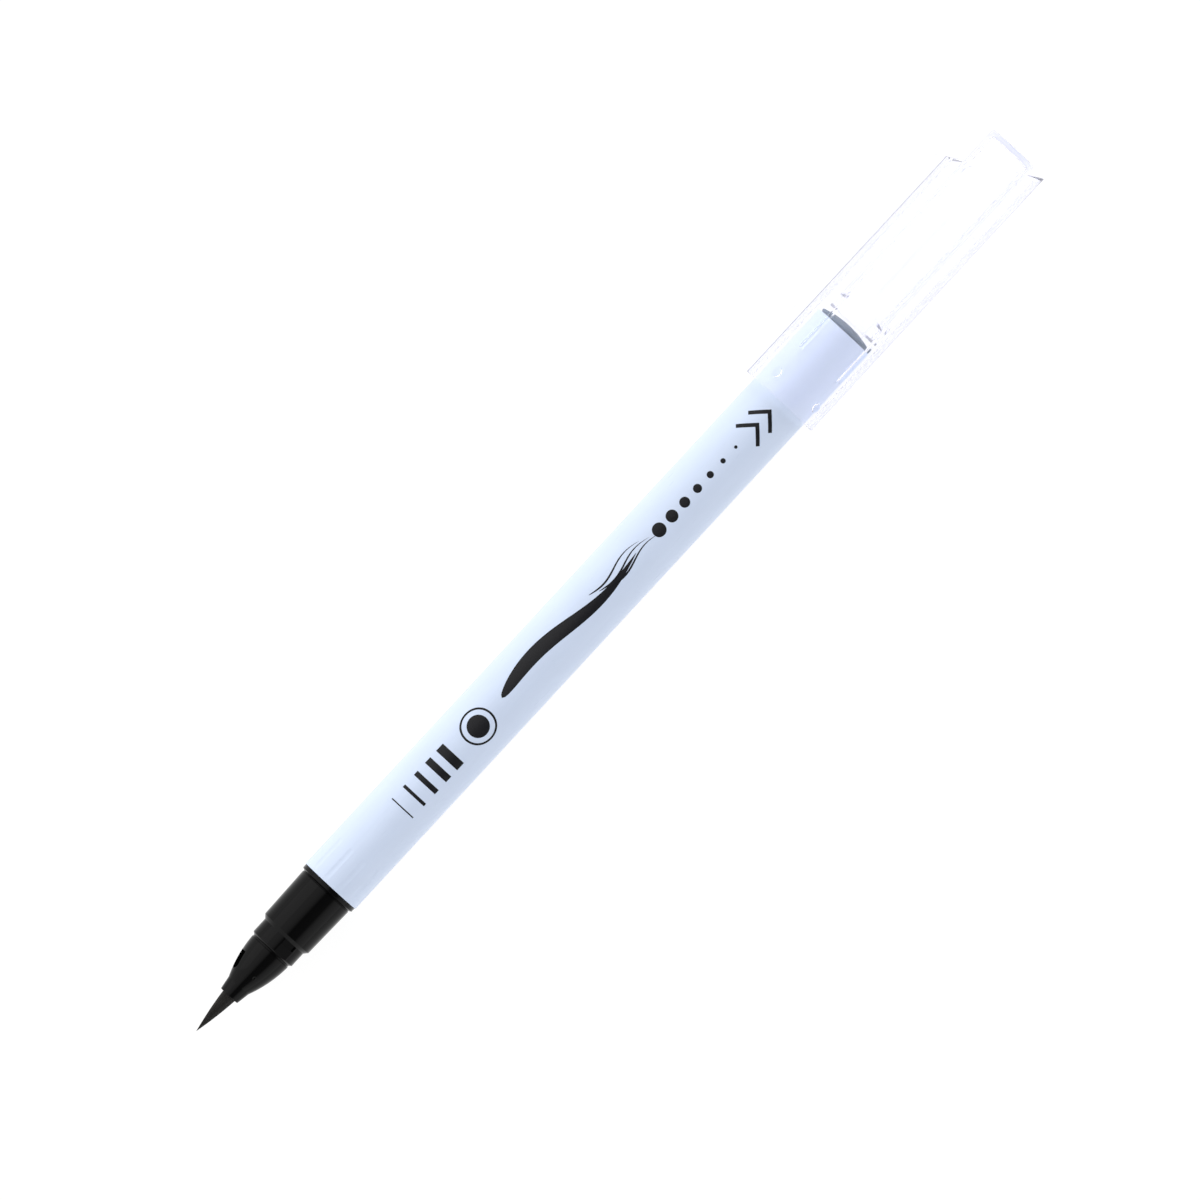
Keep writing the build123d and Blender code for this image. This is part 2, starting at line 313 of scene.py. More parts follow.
def skin(rings, closed):
    """Faces between rings of vertex numbers. A ring may be one repeated vertex."""
    faces = []
    pairs = list(zip(rings, rings[1:]))
    if closed:
        pairs.append((rings[-1], rings[0]))
    for one, two in pairs:
        for i in range(len(one)):
            j = (i + 1) % len(one)
            corners = [one[i], one[j], two[j], two[i]]
            face = [v for k, v in enumerate(corners) if v != corners[k - 1]]
            if len(face) > 2:
                faces.append(face)
    return faces


def lathe(name, outline, segments=ROUND, sharp_angle=32.0):
    """Solid of revolution about the X axis from a closed (x, radius) outline."""
    vertices, rings = [], []
    for x, radius in hold_flats(outline):
        first = len(vertices)
        if radius < 0.1 * BREAK:
            rings.append([first] * segments)
            vertices.append((x, 0.0, 0.0))
        else:
            rings.append(list(range(first, first + segments)))
            turns = [2 * math.pi * i / segments for i in range(segments)]
            vertices += [ring_point(x, radius, turn) for turn in turns]
    faces = skin(rings, closed=outline[0][1] > 0.1 * BREAK)
    return add_object(name, mesh_from(name, vertices, faces, sharp_angle))


def prism(name, outline, bottom, top, turn):
    """Solid between two heights above a closed (x, y) outline, then turned about the axis."""
    count = len(outline)
    vertices = [(x, y, z) for z in (bottom, top) for x, y in outline]
    rings = [list(range(count)), list(range(count, 2 * count))]
    faces = skin(rings, closed=False) + [rings[0], rings[1]]
    solid = add_object(name, mesh_from(name, vertices, faces))
    solid.data.transform(Matrix.Rotation(-turn, 4, "X"))
    return solid


def rounded_slab(name, front, rear, half_width, bottom, top, turn):
    """Prism with an oblong outline whose four corners are rounded."""
    corners = [(front, 0), (front, half_width), (rear, half_width), (rear, -half_width)]
    corners += [(front, -half_width), (front, 0)]
    outline = soften(corners, 0.5 * half_width, 4)[:-1]
    return prism(name, outline, bottom, top, turn)


def ball(name, radius, centre_x, height, turn):
    work = bmesh.new()
    bmesh.ops.create_uvsphere(work, u_segments=40, v_segments=24, radius=radius)
    mesh = bpy.data.meshes.new(name)
    work.to_mesh(mesh)
    work.free()
    mesh.transform(Matrix.Translation((centre_x, 0, height)))
    mesh.transform(Matrix.Rotation(-turn, 4, "X"))
    return add_object(name, mesh)


def button(name, radius, centre_x, low, high, turn):
    """Domed button between two heights, round side towards the axis, flat side outwards."""
    steps, segments = 14, 40
    widest = math.acos(1 - (high - low) / radius)
    vertices, rings = [(centre_x, 0, low)], [[0] * segments]
    for i in range(1, steps + 1):
        bend = widest * i / steps
        rings.append(list(range(len(vertices), len(vertices) + segments)))
        for k in range(segments):
            around = 2 * math.pi * k / segments
            across = radius * math.sin(bend)
            height = low + radius * (1 - math.cos(bend))
            vertices.append((centre_x + across * math.cos(around), across * math.sin(around), height))
    faces = skin(rings, closed=False) + [rings[-1]]
    solid = add_object(name, mesh_from(name, vertices, faces))
    solid.data.transform(Matrix.Rotation(-turn, 4, "X"))
    return solid


def combine(piece, tools, operation, sharp_angle=32.0):
    """Joins or cuts with exact booleans, one after another, and removes the tools."""
    for tool in tools:
        step = piece.modifiers.new("combine", "BOOLEAN")
        step.operation = operation
        step.solver = "EXACT"
        step.object = tool
    bpy.context.view_layer.update()
    graph = bpy.context.evaluated_depsgraph_get()
    mesh = bpy.data.meshes.new_from_object(piece.evaluated_get(graph))
    piece.modifiers.clear()
    piece.data = mesh
    for tool in tools:
        bpy.data.objects.remove(tool)
    shade(piece.data, sharp_angle)


# ---- material helpers ----


class Shader:
    """A new node material, with short calls for the nodes used here."""

    def __init__(self, name):
        self.material = bpy.data.materials.new(name)
        self.material.use_nodes = True
        self.nodes = self.material.node_tree.nodes
        self.links = self.material.node_tree.links
        self.bsdf = self.nodes["Principled BSDF"]
        self.output = self.nodes["Material Output"]

    def set(self, **values):
        for name, value in values.items():
            self.bsdf.inputs[name.replace("_", " ")].default_value = value

    def noise(self, scale, detail=3.0):
        """Noise on object coordinates, scaled along each axis."""
        coordinates = self.nodes.new("ShaderNodeTexCoord")
        mapping = self.nodes.new("ShaderNodeMapping")
        mapping.inputs["Scale"].default_value = scale
        self.links.new(coordinates.outputs["Object"], mapping.inputs["Vector"])
        node = self.nodes.new("ShaderNodeTexNoise")
        node.inputs["Scale"].default_value = 1.0
        node.inputs["Detail"].default_value = detail
        self.links.new(mapping.outputs["Vector"], node.inputs["Vector"])
        return node.outputs["Fac"]

    def colour(self, value, dark, light):
        """Base colour between two tones."""
        node = self.nodes.new("ShaderNodeValToRGB")
        low, high = node.color_ramp.elements
        low.position, high.position = 0.32, 0.68
        low.color, high.color = (*dark, 1), (*light, 1)
        self.links.new(value, node.inputs["Fac"])
        self.links.new(node.outputs["Color"], self.bsdf.inputs["Base Color"])

    def roughness(self, value, low, high):
        node = self.nodes.new("ShaderNodeMapRange")
        node.inputs["From Min"].default_value = 0.3
        node.inputs["From Max"].default_value = 0.7
        node.inputs["To Min"].default_value = low
        node.inputs["To Max"].default_value = high
        self.links.new(value, node.inputs["Value"])
        self.links.new(node.outputs["Result"], self.bsdf.inputs["Roughness"])

    def bump(self, value, height, strength=1.0):
        node = self.nodes.new("ShaderNodeBump")
        node.inputs["Distance"].default_value = height
        node.inputs["Strength"].default_value = strength
        self.links.new(value, node.inputs["Height"])
        self.links.new(node.outputs["Normal"], self.bsdf.inputs["Normal"])


def moulded_plastic(name, colour, roughness, level, change):
    """Opaque moulded plastic: slight colour drift, uneven gloss and a fine moulded skin."""
    shader = Shader(name)
    dark = [c * (1 - change) for c in colour]
    light = [min(1.0, c * (1 + change)) for c in colour]
    shader.colour(shader.noise((120, 400, 400), detail=2), dark, light)
    shader.roughness(shader.noise((300, 2600, 2600), detail=4), 0.8 * roughness, 1.25 * roughness)
    shader.bump(shader.noise((5000, 5000, 5000)), 0.002 * MM, 0.5)
    shader.set(Specular_IOR_Level=level)
    return shader.material


def clear_plastic():
    """Clear moulded plastic with a slight haze, faint flow lines, a lavender body colour and a faint
    painted glow.
    """
    shader = Shader("clear_plastic")
    shader.set(Transmission_Weight=1 - CLEAR_HAZE, IOR=CLEAR_IOR)
    flow = shader.noise((150, 900, 900), detail=2)
    shader.colour(flow, (0.98, 0.98, 1.0), (1.0, 1.0, 1.0))
    # painted light: a faint emission that brightens the clear walls, standing in for light they
    # gather
    shader.set(Emission_Color=(0.97, 0.96, 1.0, 1.0), Emission_Strength=CLEAR_PAINTED_GLOW)
    shader.roughness(flow, 0.01, 0.05)
    shader.bump(flow, 0.004 * MM, 0.6)
    body = shader.nodes.new("ShaderNodeVolumeAbsorption")
    body.inputs["Color"].default_value = (0.5, 0.55, 0.93, 1.0)
    body.inputs["Density"].default_value = CLEAR_DENSITY
    shader.links.new(body.outputs["Volume"], shader.output.inputs["Volume"])
    return shader.material


def filament():
    """Dark dyed nylon, with streaks along the hairs."""
    shader = Shader("dark_filament")
    streaks = shader.noise((250, 14000, 14000), detail=2)
    shader.colour(streaks, (0.008, 0.0074, 0.0066), (0.024, 0.022, 0.019))
    shader.roughness(streaks, 0.4, 0.6)
    shader.set(Specular_IOR_Level=0.3)
    return shader.material


def printed_ink():
    shader = Shader("printed_ink")
    grain = shader.noise((9000, 9000, 9000), detail=2)
    shader.colour(grain, (0.006, 0.006, 0.008), (0.014, 0.014, 0.017))
    shader.roughness(grain, 0.3, 0.45)
    shader.set(Specular_IOR_Level=0.2)
    return shader.material


def fibre(name, dark, light):
    """Bundled fibre with fine strands along the pen."""
    shader = Shader(name)
    strands = shader.noise((200, 9000, 9000))
    shader.colour(strands, dark, light)
    shader.roughness(strands, 0.7, 0.9)
    shader.bump(strands, 0.03 * MM)
    return shader.material


MATERIALS = {
    "barrel": moulded_plastic("pale_blue_plastic", (0.665, 0.758, 0.94), 0.34, 0.35, 0.012),
    "nose": moulded_plastic("black_plastic", (0.0018, 0.0018, 0.0019), 0.1, 0.125, 0.1),
    "plug": moulded_plastic("slate_plastic", (0.095, 0.145, 0.215), 0.5, 0.1, 0.05),
    "clear": clear_plastic(),
    "tuft": filament(),
    "ink": printed_ink(),
    "retainer": moulded_plastic("natural_plastic", (0.78, 0.78, 0.74), 0.4, 0.5, 0.02),
    "core": fibre("ink_soaked_core", (0.008, 0.008, 0.01), (0.03, 0.03, 0.035)),
    "wadding": fibre("ink_wadding_fibre", (0.02, 0.02, 0.025), (0.09, 0.09, 0.1)),
    "film": moulded_plastic("clear_film", (0.8, 0.8, 0.82), 0.25, 0.5, 0.02),
}


def finish_piece(piece, material, body, slot, *nodes):
    """Gives a new piece its material and its body, and the nodes that it stands for. The slot is not
    used.
    """
    piece.data.materials.clear()
    piece.data.materials.append(MATERIALS[material])
    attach(piece, body)
    if nodes:
        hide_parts(*nodes)


# ---- front section ----


def nose_outline():
    mouth = [(NOZZLE_MOUTH, NOZZLE_BORE), (NOZZLE_MOUTH, NOZZLE_RADIUS)]
    mouth += [(NOZZLE_REAR, CONE_FRONT_RADIUS)]
    cone = arc_through(
        (NOZZLE_REAR, CONE_FRONT_RADIUS),
        (CONE_MIDDLE, CONE_MIDDLE_RADIUS),
        (CONE_REAR, CONE_REAR_RADIUS),
        28,
    )
    steps = [
        cone[-1],
        (CONE_REAR + STEP_DEPTH, CONE_REAR_RADIUS - STEP_DEPTH),
        (RING_FRONT - 4 * STEP_DEPTH, CONE_REAR_RADIUS - STEP_DEPTH),
        (RING_FRONT, RING_RADIUS),
        (RING_REAR, RING_RADIUS),
        (GRIP_FRONT, GRIP_FRONT_RADIUS),
        (GRIP_REAR, GRIP_REAR_RADIUS),
        (GRIP_REAR + STEP_DEPTH, GRIP_REAR_RADIUS - STEP_DEPTH),
        (GRIP_REAR + 2 * STEP_DEPTH, GRIP_REAR_RADIUS - STEP_DEPTH),
        (GRIP_REAR + 5 * STEP_DEPTH, COLLAR_RADIUS),
        (BARREL_FRONT, COLLAR_RADIUS),
        (BARREL_FRONT, SPIGOT_RADIUS),
        (SPIGOT_REAR, SPIGOT_RADIUS),
        (SPIGOT_REAR, SPIGOT_BORE),
        (GRIP_REAR, SPIGOT_BORE),
        (ROOT_STOP, NOZZLE_BORE),
    ]
    return soften(mouth, 2 * BREAK, 9) + cone[1:-1] + soften(steps, BREAK, 9)


def vent_tool(turn):
    """Slot with a round front and a square rear, from the vent's floor outwards."""
    steps = 24
    round_centre = VENT_FRONT + VENT_HALF_WIDTH
    outline = [(VENT_REAR, VENT_HALF_WIDTH)]
    for i in range(steps + 1):
        bend = math.pi * i / steps
        across = VENT_HALF_WIDTH * math.cos(bend)
        outline.append((round_centre - VENT_HALF_WIDTH * math.sin(bend), across))
    outline.append((VENT_REAR, -VENT_HALF_WIDTH))
    return prism("vent_tool", outline, VENT_FLOOR, 2 * RING_RADIUS, turn)


def notch_tools(turn):
    """Flat on the ring and the pocket behind it."""
    reach, wide = 2 * RING_RADIUS, 0.8 * RING_RADIUS
    front, overlap = RING_FRONT - 4 * BREAK, 0.1 * BREAK
    flat = [(front, -wide), (front, wide), (NOTCH_FRONT, wide), (NOTCH_FRONT, -wide)]
    pocket = [
        (NOTCH_FRONT - overlap, -NOTCH_HALF_WIDTH),
        (NOTCH_FRONT - overlap, NOTCH_HALF_WIDTH),
        (RING_REAR, NOTCH_HALF_WIDTH),
        (RING_REAR, -NOTCH_HALF_WIDTH),
    ]
    return [
        prism("flat_tool", flat, RING_RADIUS - FLAT_DEPTH, reach, turn),
        prism("pocket_tool", pocket, RING_RADIUS - NOTCH_DEPTH, reach, turn),
    ]


def build_nose():
    nose = lathe("front_section_shell", nose_outline(), ROUND, CUT_EDGE)
    tools = [ball("gate_tool", GATE_MARK_RADIUS, GATE_MARK, GATE_MARK_HEIGHT, GATE_MARK_TURN)]
    for half_turn in (0, math.pi):
        tools.append(vent_tool(VENT_TURN + half_turn))
        tools += notch_tools(NOTCH_TURN + half_turn)
    combine(nose, tools, "DIFFERENCE", CUT_EDGE)
    finish_piece(nose, "nose", "pen", "black_nose", "front_section")


# ---- tuft ----


def tuft_radius(x):
    """Outer radius of the tuft at x: a slightly convex taper, straight inside the nozzle."""
    along = min(1.0, max(0.0, (x - TIP) / (NOZZLE_MOUTH - TIP)))
    return TUFT_RADIUS * ((1 + TUFT_BULGE) * along - TUFT_BULGE * along * along)


def add_filament(vertices, faces, track, radii, sides=6):
    """Closed tapered tube along a track of points."""
    first = len(vertices)
    rings = []
    for centre, radius in zip(track, radii):
        rings.append([first + k for k in range(sides)])
        first += sides
        for k in range(sides):
            bend = 2 * math.pi * k / sides
            vertices.append(centre + Vector((0, radius * math.cos(bend), radius * math.sin(bend))))
    faces += skin(rings, closed=False) + [rings[0], rings[-1]]


def build_tuft():
    """Layers of tapered hairs that run from inside the nozzle and meet near the tip."""
    rng = random.Random(7)
    vertices, faces = [], []
    rear = NOZZLE_MOUTH + 1.5 * MM
    steps = 18
    for depth, count in HAIR_LAYERS.items():
        for i in range(count):
            turn = 2 * math.pi * (i + rng.uniform(-0.3, 0.3)) / count
            thick = rng.uniform(0.036, 0.048) * MM
            end = TIP + rng.random() ** 2.8 * TUFT_SCATTER
            wander = rng.uniform(-0.05, 0.05)
            layer = depth * rng.uniform(0.975, 1.0)
            track, radii = [], []
            for step in range(steps + 1):
                along = step / steps
                x = rear + (end - rear) * along
                out = max(0.0, tuft_radius(x) - thick * (1 - along)) * layer
                track.append(Vector(ring_point(x, out, turn + wander * math.sin(math.pi * along))))
                radii.append(thick * (1 - 0.85 * along**1.5))
            add_filament(vertices, faces, track, radii)
    tuft = add_object("filament_tuft", mesh_from("filament_tuft", vertices, faces, 80))
    finish_piece(tuft, "tuft", "pen", "tuft_filament", "brush_tuft")


# ---- barrel and tail plug ----


def flute_depth(x, turn):
    """Depth of the shallow flutes at a place on the barrel."""
    step = 2 * math.pi / FLUTES
    across = abs((turn - FLUTE_TURN + step / 2) % step - step / 2) * BARREL_RADIUS
    ends = min(x - FLUTE_FRONT, FLUTE_FRONT + FLUTE_LENGTH - x) / (0.25 * MM)
    side = 1 - (across / FLUTE_HALF_WIDTH) ** 2
    return FLUTE_DEPTH * max(0.0, side) * min(1.0, max(0.0, ends))


def build_barrel():
    outline = [
        (BARREL_FRONT, SPIGOT_RADIUS),
        (BARREL_FRONT, BARREL_RADIUS),
        (POSTING_FRONT, BARREL_RADIUS),
        (BARREL_REAR, BARREL_RADIUS - POSTING_TAPER),
        (BARREL_REAR, SPIGOT_RADIUS),
    ]
    shape = soften(outline, 2 * BREAK)
    middle = (BARREL_FRONT + BARREL_REAR) / 2
    steps = 40
    fluted = [(FLUTE_FRONT + FLUTE_LENGTH * i / steps, BARREL_RADIUS) for i in range(steps + 1)]
    front_edge = [stop for stop in shape if stop[0] < middle]
    rear_edge = [stop for stop in shape if stop[0] > middle]
    barrel = lathe("barrel_tube", front_edge + fluted + rear_edge, 4 * ROUND)
    for vertex in barrel.data.vertices:
        x, y, z = vertex.co
        radius = math.hypot(y, z)
        if radius > BARREL_RADIUS - BREAK:
            depth = flute_depth(x, math.atan2(y, z))
            vertex.co.y *= 1 - depth / radius
            vertex.co.z *= 1 - depth / radius
    shade(barrel.data)
    finish_piece(barrel, "barrel", "pen", "barrel_blue", "barrel")


def build_plug():
    """Hollow spigot inside the barrel, and a shallow head outside it with a crowned end."""
    bore = SPIGOT_RADIUS - PLUG_WALL
    floor = BARREL_REAR - PLUG_WALL / 2
    rim = PLUG_REAR - sphere_drop(CROWN_RADIUS, PLUG_RADIUS)
    steps = 16
    shape = [(floor, 0), (floor, bore), (PLUG_FRONT, bore), (PLUG_FRONT, SPIGOT_RADIUS)]
    shape += [(BARREL_REAR, SPIGOT_RADIUS), (BARREL_REAR, PLUG_RADIUS - JOINT_STEP)]
    shape += [(BARREL_REAR + JOINT_STEP, PLUG_RADIUS - JOINT_STEP)]
    shape += [(BARREL_REAR + 2 * JOINT_STEP, PLUG_RADIUS), (rim, PLUG_RADIUS)]
    crown = []
    for i in range(1, steps + 1):
        radius = PLUG_RADIUS * (1 - i / steps)
        crown.append((PLUG_REAR - sphere_drop(CROWN_RADIUS, radius), radius))
    shape = soften(shape, BREAK)[:-1] + soften([shape[-2], shape[-1], crown[0]], HEAD_EDGE, 8)[1:]
    shape += crown[1:]
    finish_piece(lathe("tail_plug_cap", shape), "plug", "pen", "slate_plug", "tail_plug")


# ---- print on the barrel: plain marks, with no lettering ----


def add_stroke(vertices, faces, track, half_widths, across=10):
    """Thin closed strip of ink on the barrel along (x, arc) points, with a half width at each."""
    row = across + 1
    first = len(vertices)
    for i, (x, arc) in enumerate(track):
        ahead = Vector(track[min(i + 1, len(track) - 1)])
        behind = Vector(track[max(i - 1, 0)])
        along = (ahead - behind).normalized()
        side = Vector((-along.y, along.x)) * half_widths[i]
        for radius in (BARREL_RADIUS + INK_PROUD, BARREL_RADIUS - INK_DEPTH):
            ring = [2 * k / across - 1 for k in range(row)]
            if radius < BARREL_RADIUS:
                ring.reverse()
            for k in ring:
                turn = (arc + side.y * k) / BARREL_RADIUS
                vertices.append(ring_point(x + side.x * k, radius, turn))
    rings = [list(range(first + 2 * row * i, first + 2 * row * (i + 1))) for i in range(len(track))]
    faces += skin(rings, closed=False) + [rings[0], rings[-1]]


def print_mark(name, *strokes):
    vertices, faces = [], []
    for track, half_widths in strokes:
        add_stroke(vertices, faces, track, half_widths)
    mark = add_object(name, mesh_from(name, vertices, faces, 50))
    finish_piece(mark, "ink", "pen", "black_nose")


def disc(x, arc, radius, steps=28):
    bends = [math.pi * i / steps for i in range(steps + 1)]
    track = [(x - radius * math.cos(bend), arc) for bend in bends]
    return track, [max(FINEST_INK, radius * math.sin(bend)) for bend in bends]


def oval(x, arc, half_length, half_height, half_width, steps=96):
    """Closed oval line, as one stroke whose ends overlap a little."""
    bends = [2 * math.pi * i / steps for i in range(steps + 2)]
    track = [(x + half_length * math.cos(b), arc + half_height * math.sin(b)) for b in bends]
    return track, [half_width] * len(track)


def bar(x, half_height, half_width, steps=24):
    """Straight bar across the pen, with square ends."""
    track = [(x, half_height * (2 * i / steps - 1)) for i in range(steps + 1)]
    return track, [half_width] * len(track)


def chevron(x, reach, half_width, steps=8):
    """Open arrow head that points along the pen, as one stroke with a square corner."""
    track = []
    for i in range(-steps, steps + 1):
        track.append((x + reach * (1 - abs(i) / steps), reach * i / steps))
    widths = [half_width] * len(track)
    widths[steps] = half_width * math.sqrt(2)
    return track, widths


def sweep(x, length, arc, swing, thick, steps=90):
    """Brush stroke that swells, waves once and tapers away."""
    track, widths = [], []
    for i in range(steps + 1):
        along = i / steps
        track.append((x + length * along, arc + swing * math.sin(2 * math.pi * along)))
        widths.append(max(0.01 * MM, thick * math.sin(math.pi * along**0.6) ** 0.8))
    return track, widths


def build_print():
    bars = []
    for i in range(5):
        bars.append(bar(BARS_FRONT + i * BAR_STEP, BAR_HALF_HEIGHT, THINNEST_BAR + i * BAR_GROWTH))
    print_mark("print_bars", *bars)
    ring = oval(SWATCH, 0, SWATCH_RING_RADIUS, SWATCH_RING_RADIUS, LINE_HALF_WIDTH)
    print_mark("print_swatch", ring, disc(SWATCH, 0, SWATCH_RADIUS))
    stroke = [sweep(STROKE_FRONT, STROKE_LENGTH, 0.3 * MM, 0.9 * MM, STROKE_HALF_WIDTH)]
    for i in range(3):
        arc = (1.2 - 0.75 * i) * MM
        front = HAIRS_FRONT + i * HAIR_STEP
        stroke.append(sweep(front, HAIR_LENGTH, arc, -0.5 * MM, 0.14 * MM))
    print_mark("print_stroke", *stroke)
    dots = []
    for i in range(7):
        dots.append(disc(DOTS_FRONT + i * DOT_STEP, 0.1 * MM, FIRST_DOT_RADIUS - i * DOT_SHRINK))
    print_mark("print_dots", *dots)
    chevrons = [chevron(x, CHEVRON_REACH, CHEVRON_HALF_WIDTH) for x in CHEVRONS]
    print_mark("print_chevrons", *chevrons)


# ---- cap ----


def slanted_x(y):
    """X of the slanted end plane at a height y above the axis."""
    return CAP_REAR - (y + CAP_RADIUS) * math.tan(SLANT)


def shell_section():
    """Outline of the shell's cross-section with its fin, as (y, z) points in order round it."""
    root, edge, half = FIN_ROOT_ROUNDING, FIN_ROUNDING, FIN_HALF_THICKNESS
    root_turn = math.asin((half + root) / (CAP_RADIUS + root))
    root_y = (CAP_RADIUS + root) * math.cos(root_turn)
    lean = math.degrees(root_turn)
    points = []

    def add_arc(y, z, radius, first, last, steps):
        for i in range(steps):
            bend = math.radians(first + (last - first) * i / steps)
            points.append((y + radius * math.cos(bend), z + radius * math.sin(bend)))

    add_arc(0, 0, CAP_RADIUS, lean, 360 - lean, ROUND)
    add_arc(root_y, -(half + root), root, 180 - lean, 90, 8)
    add_arc(FIN_EDGE - edge, -(half - edge), edge, -90, 0, 10)
    add_arc(FIN_EDGE - edge, half - edge, edge, 0, 90, 10)
    add_arc(root_y, half + root, root, -90, lean - 180, 8)
    return [tuple(point) for point in hold_flats(points, closed=True)]


def shell_rings():
    """Rings of the shell: outside from rim to slanted end, then the bore back to the rim."""
    outer = shell_section()
    turns = [math.atan2(z, y) for y, z in outer]
    bore = [(CAP_BORE * math.cos(turn), CAP_BORE * math.sin(turn)) for turn in turns]
    edge, steps = 3 * BREAK, 6
    bends = [math.pi / 2 * i / steps for i in range(steps + 1)]
    roll = [(edge * (1 - math.cos(b)), edge * (1 - math.sin(b))) for b in bends]
    roll.append((edge + HOLD, 0.0))

    def ring(points, set_back, inset, slanted):
        made = []
        for (y, z), turn in zip(points, turns):
            y, z = y - inset * math.cos(turn), z - inset * math.sin(turn)
            x = slanted_x(y) - set_back if slanted else CAP_RIM + set_back
            made.append((x, y, z))
        return made

    rings = [ring(outer, back, inset, False) for back, inset in roll]
    rings += [ring(outer, back, inset, True) for back, inset in reversed(roll)]
    rings += [ring(bore, back, -inset, True) for back, inset in roll]
    rings += [ring(bore, back, -inset, False) for back, inset in reversed(roll)]
    return rings


def build_cap_shell():
    vertices, rings = [], []
    for ring in shell_rings():
        rings.append(list(range(len(vertices), len(vertices) + len(ring))))
        vertices += ring
    mesh = mesh_from("cap_outer_tube", vertices, skin(rings, closed=True), 40)
    shell = add_object("cap_outer_tube", mesh)
    tools = []
    for i in range(4):
        turn = GRIP_TURN + math.pi / 2 * i
        tools.append(button("detent", DETENT_RADIUS, DETENT, GRIP_REACH, GRIP_ROOT, turn))
        slab = (RIB_FRONT, RIB_REAR, RIB_HALF_THICKNESS, GRIP_REACH, GRIP_ROOT, turn)
        tools.append(rounded_slab("rib", *slab))
    combine(shell, tools, "UNION", 40)
    finish_piece(shell, "clear", "cap", "clear_cap", "cap_shell")


def build_inner_cap():
    bore = INNER_CAP_RADIUS - INNER_CAP_WALL
    floor = INNER_CAP_REAR - INNER_CAP_WALL
    face_radius = INNER_CAP_RADIUS - INNER_CAP_CORNER
    steps = 12
    dome = []
    for i in range(steps + 1):
        radius = face_radius * (1 - i / steps)
        dome.append((INNER_CAP_REAR - sphere_drop(DOME_RADIUS, radius), radius))
    side = [
        (floor, 0),
        (floor, bore),
        (LEAD_IN_REAR + LEAD_IN_TAPER, bore),
        (LEAD_IN_REAR, LEAD_IN_BORE),
        (INNER_CAP_FRONT + MOUTH_FLARE, LEAD_IN_BORE),
        (INNER_CAP_FRONT, LEAD_IN_BORE + MOUTH_FLARE),
        (INNER_CAP_FRONT, INNER_CAP_RADIUS),
        (dome[0][0], INNER_CAP_RADIUS),
        dome[0],
    ]
    corner = soften(side[-3:], INNER_CAP_CORNER, 10)
    floor_corner = soften(side[:3], FLOOR_ROUNDING, 10)
    wall = soften(side[1:-1], WALL_ROUNDING)[1:-1]
    cup = lathe("cap_inner_tube", floor_corner[:-1] + wall + corner[1:] + dome[1:], ROUND, 40)
    webs = []
    for i in range(4):
        reach = (bore + WEB_BITE, CAP_BORE - WEB_GAP)
        turn = math.pi / 2 * i
        webs.append(rounded_slab("web", WEB_FRONT, WEB_REAR, WEB_HALF_THICKNESS, *reach, turn))
    combine(cup, webs, "UNION", 40)
    finish_piece(cup, "clear", "cap", "clear_cap", "inner_cap")


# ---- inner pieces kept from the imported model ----


def dress_inner_pieces():
    dress = {
        "tuft_retainer": "retainer",
        "relay_core": "core",
        "ink_wadding": "wadding",
        "wadding_film": "film",
    }
    for node, material in dress.items():
        for socket in bpy.data.objects[node].material_slots:
            socket.material = MATERIALS[material]


# ---- stage, light and camera ----


def build_floor():
    size = 3.0
    corners = [(-size, -size), (size, -size), (size, size), (-size, size)]
    floor = add_object("floor", mesh_from("floor", [(*c, FLOOR_Z) for c in corners], [[0, 1, 2, 3]]))
    shader = Shader("pale_floor")
    shader.set(Roughness=0.9, Specular_IOR_Level=0.1)
    shader.colour(shader.noise((40, 40, 40)), (0.09, 0.09, 0.09), (0.11, 0.11, 0.11))
    shader.set(Emission_Color=(1.0, 1.0, 1.0, 1.0), Emission_Strength=0.95)
    floor.data.materials.append(shader.material)


# studio surroundings: light level at each angle from straight up towards +Y
SKY = {
    -180: 1.2,
    -90: 1.6,
    -74: 1.4,
    -60: 1.25,
    -51: 0.85,
    -43: 0.2,
    -8: 0.13,
    -2: 0.6,
    0: 0.8,
    11: 1.15,
    23: 1.3,
    35: 1.3,
    60: 1.35,
    89: 1.3,
    180: 1.2,
}
SKY_ENDS = 1.1  # level straight along the pen, where the angle has no meaning


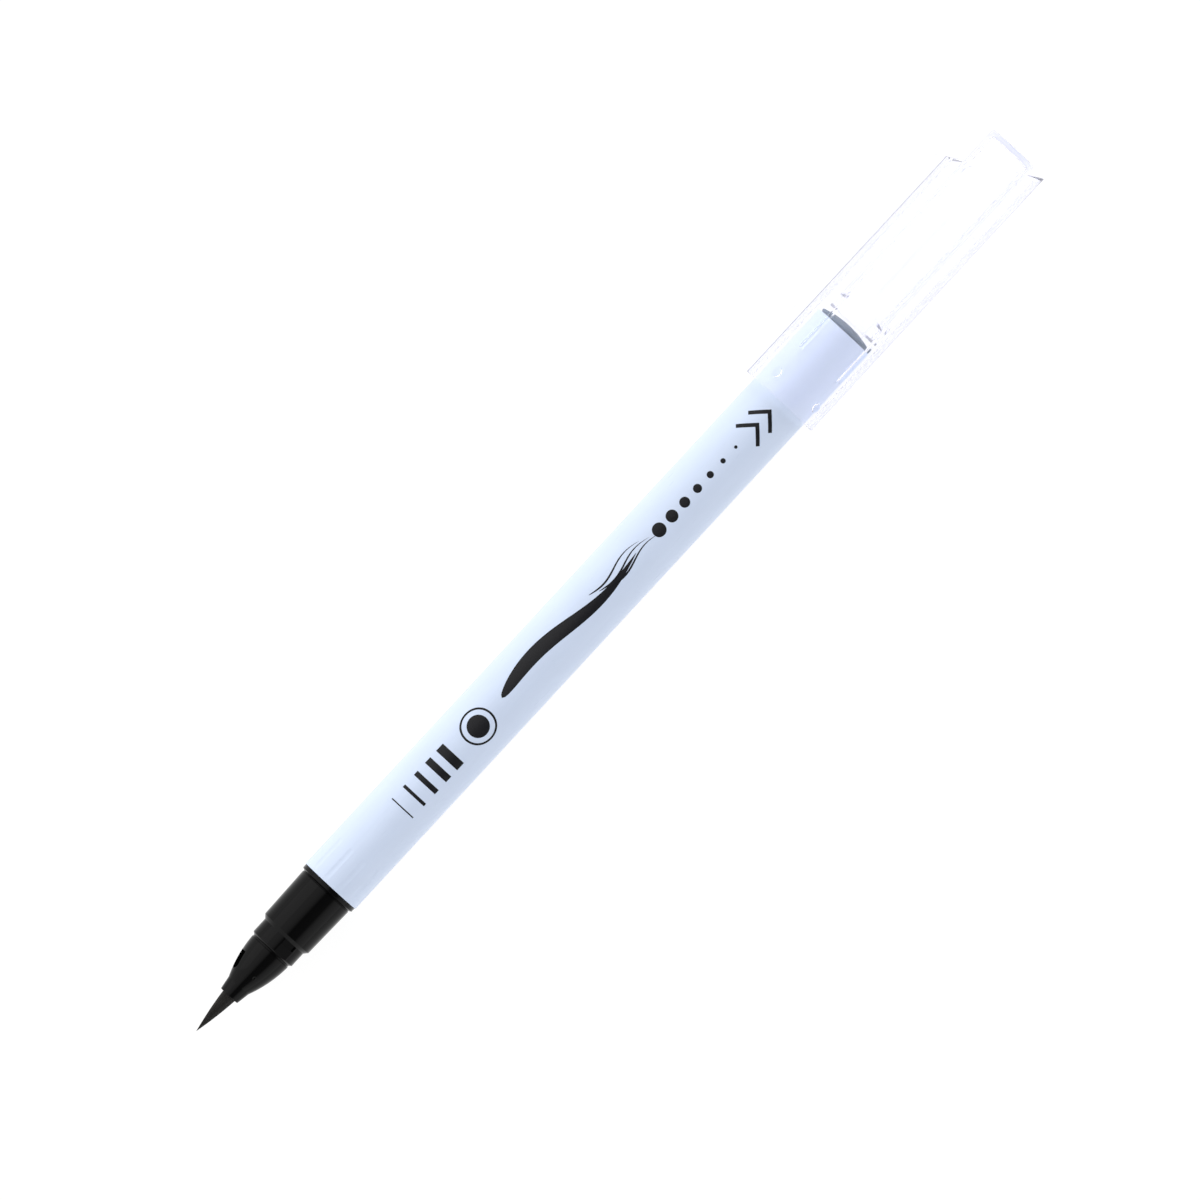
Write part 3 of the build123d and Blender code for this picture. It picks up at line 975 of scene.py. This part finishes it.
def build_world():
    """Soft white surroundings with one dark strip overhead, drawn out along the pen."""
    world = bpy.data.worlds.new("studio")
    world.use_nodes = True
    nodes, links = world.node_tree.nodes, world.node_tree.links

    def math_node(operation, first, second=None):
        node = nodes.new("ShaderNodeMath")
        node.operation = operation
        for socket, value in zip(node.inputs, (first, second)):
            if isinstance(value, (int, float)):
                socket.default_value = value
            elif value is not None:
                links.new(value, socket)
        return node.outputs[0]

    direction = nodes.new("ShaderNodeTexCoord").outputs["Generated"]
    split = nodes.new("ShaderNodeSeparateXYZ")
    links.new(direction, split.inputs["Vector"])
    x, y, z = split.outputs
    angle = math_node("ARCTAN2", y, z)
    place = math_node("MULTIPLY_ADD", angle, 1 / (2 * math.pi))
    place.node.inputs[2].default_value = 0.5
    ramp = nodes.new("ShaderNodeValToRGB")
    stops = ramp.color_ramp.elements
    brightest = max(SKY.values())
    stops[0].position, stops[1].position = 0.0, 1.0
    for degrees, level in SKY.items():
        shade_level = level / brightest
        at_end = {-180: stops[0], 180: stops[-1]}.get(degrees)
        stop = at_end or stops.new((degrees + 180) / 360)
        stop.color = (shade_level, shade_level, shade_level, 1)
    links.new(place, ramp.inputs["Fac"])
    off_axis = math_node("SQRT", math_node("SUBTRACT", 1.0, math_node("MULTIPLY", x, x)))
    fade = nodes.new("ShaderNodeMapRange")
    fade.interpolation_type = "SMOOTHSTEP"
    fade.inputs["From Min"].default_value = 0.2
    fade.inputs["From Max"].default_value = 0.55
    links.new(off_axis, fade.inputs["Value"])
    blend = nodes.new("ShaderNodeMix")
    blend.data_type = "RGBA"
    ends = SKY_ENDS / brightest
    blend.inputs["A"].default_value = (ends, ends, ends, 1)
    links.new(fade.outputs["Result"], blend.inputs["Factor"])
    links.new(ramp.outputs["Color"], blend.inputs["B"])
    background = nodes["Background"]
    links.new(blend.outputs["Result"], background.inputs["Color"])
    background.inputs["Strength"].default_value = brightest
    bpy.context.scene.world = world


def soft_light(name, tilt, distance, width, length, radiance):
    """Rectangular softbox aimed at the pen's middle, tilted from straight up towards +Y."""
    data = bpy.data.lights.new(name, "AREA")
    data.shape = "RECTANGLE"
    data.size, data.size_y = length, width
    data.energy = radiance * math.pi * width * length
    light = bpy.data.objects.new(name, data)
    turn = math.radians(tilt)
    light.location = (0.0, distance * math.sin(turn), distance * math.cos(turn))
    light.rotation_euler = (-turn, 0.0, 0.0)
    light.visible_camera = False
    bpy.context.scene.collection.objects.link(light)


def build_camera():
    """Square above the pen, rolled so that the pen rises to the upper right."""
    lens, sensor = 600.0, 36.0
    seen_width = 179.05 * MM
    roll = math.radians(-47.22)
    data = bpy.data.cameras.new("camera")
    data.lens, data.sensor_width = lens, sensor
    data.clip_start, data.clip_end = 0.01, 20.0
    camera = bpy.data.objects.new("camera", data)
    bpy.context.scene.collection.objects.link(camera)
    right = Vector((math.cos(roll), math.sin(roll), 0))
    up = Vector((-math.sin(roll), math.cos(roll), 0))
    middle = Vector(((TIP + INNER_CAP_REAR) / 2, 0, 0))
    aim = middle - right * 0.777 * MM - up * 1.615 * MM
    camera.location = aim + Vector((0, 0, seen_width * lens / sensor))
    camera.rotation_euler = (0, 0, roll)
    bpy.context.scene.camera = camera


build_nose()
build_tuft()
build_barrel()
build_print()
build_plug()
build_cap_shell()
build_inner_cap()
dress_inner_pieces()
build_floor()
build_world()
soft_light("key_softbox", tilt=55.0, distance=0.9, width=0.7, length=1.2, radiance=0.4)
build_camera()
bpy.context.scene.view_settings.view_transform = "Standard"
# light crosses many clear walls in the cap before it leaves
bpy.context.scene.cycles.max_bounces = 32
bpy.context.scene.cycles.transmission_bounces = 32
bpy.context.scene.cycles.blur_glossy = 0.0
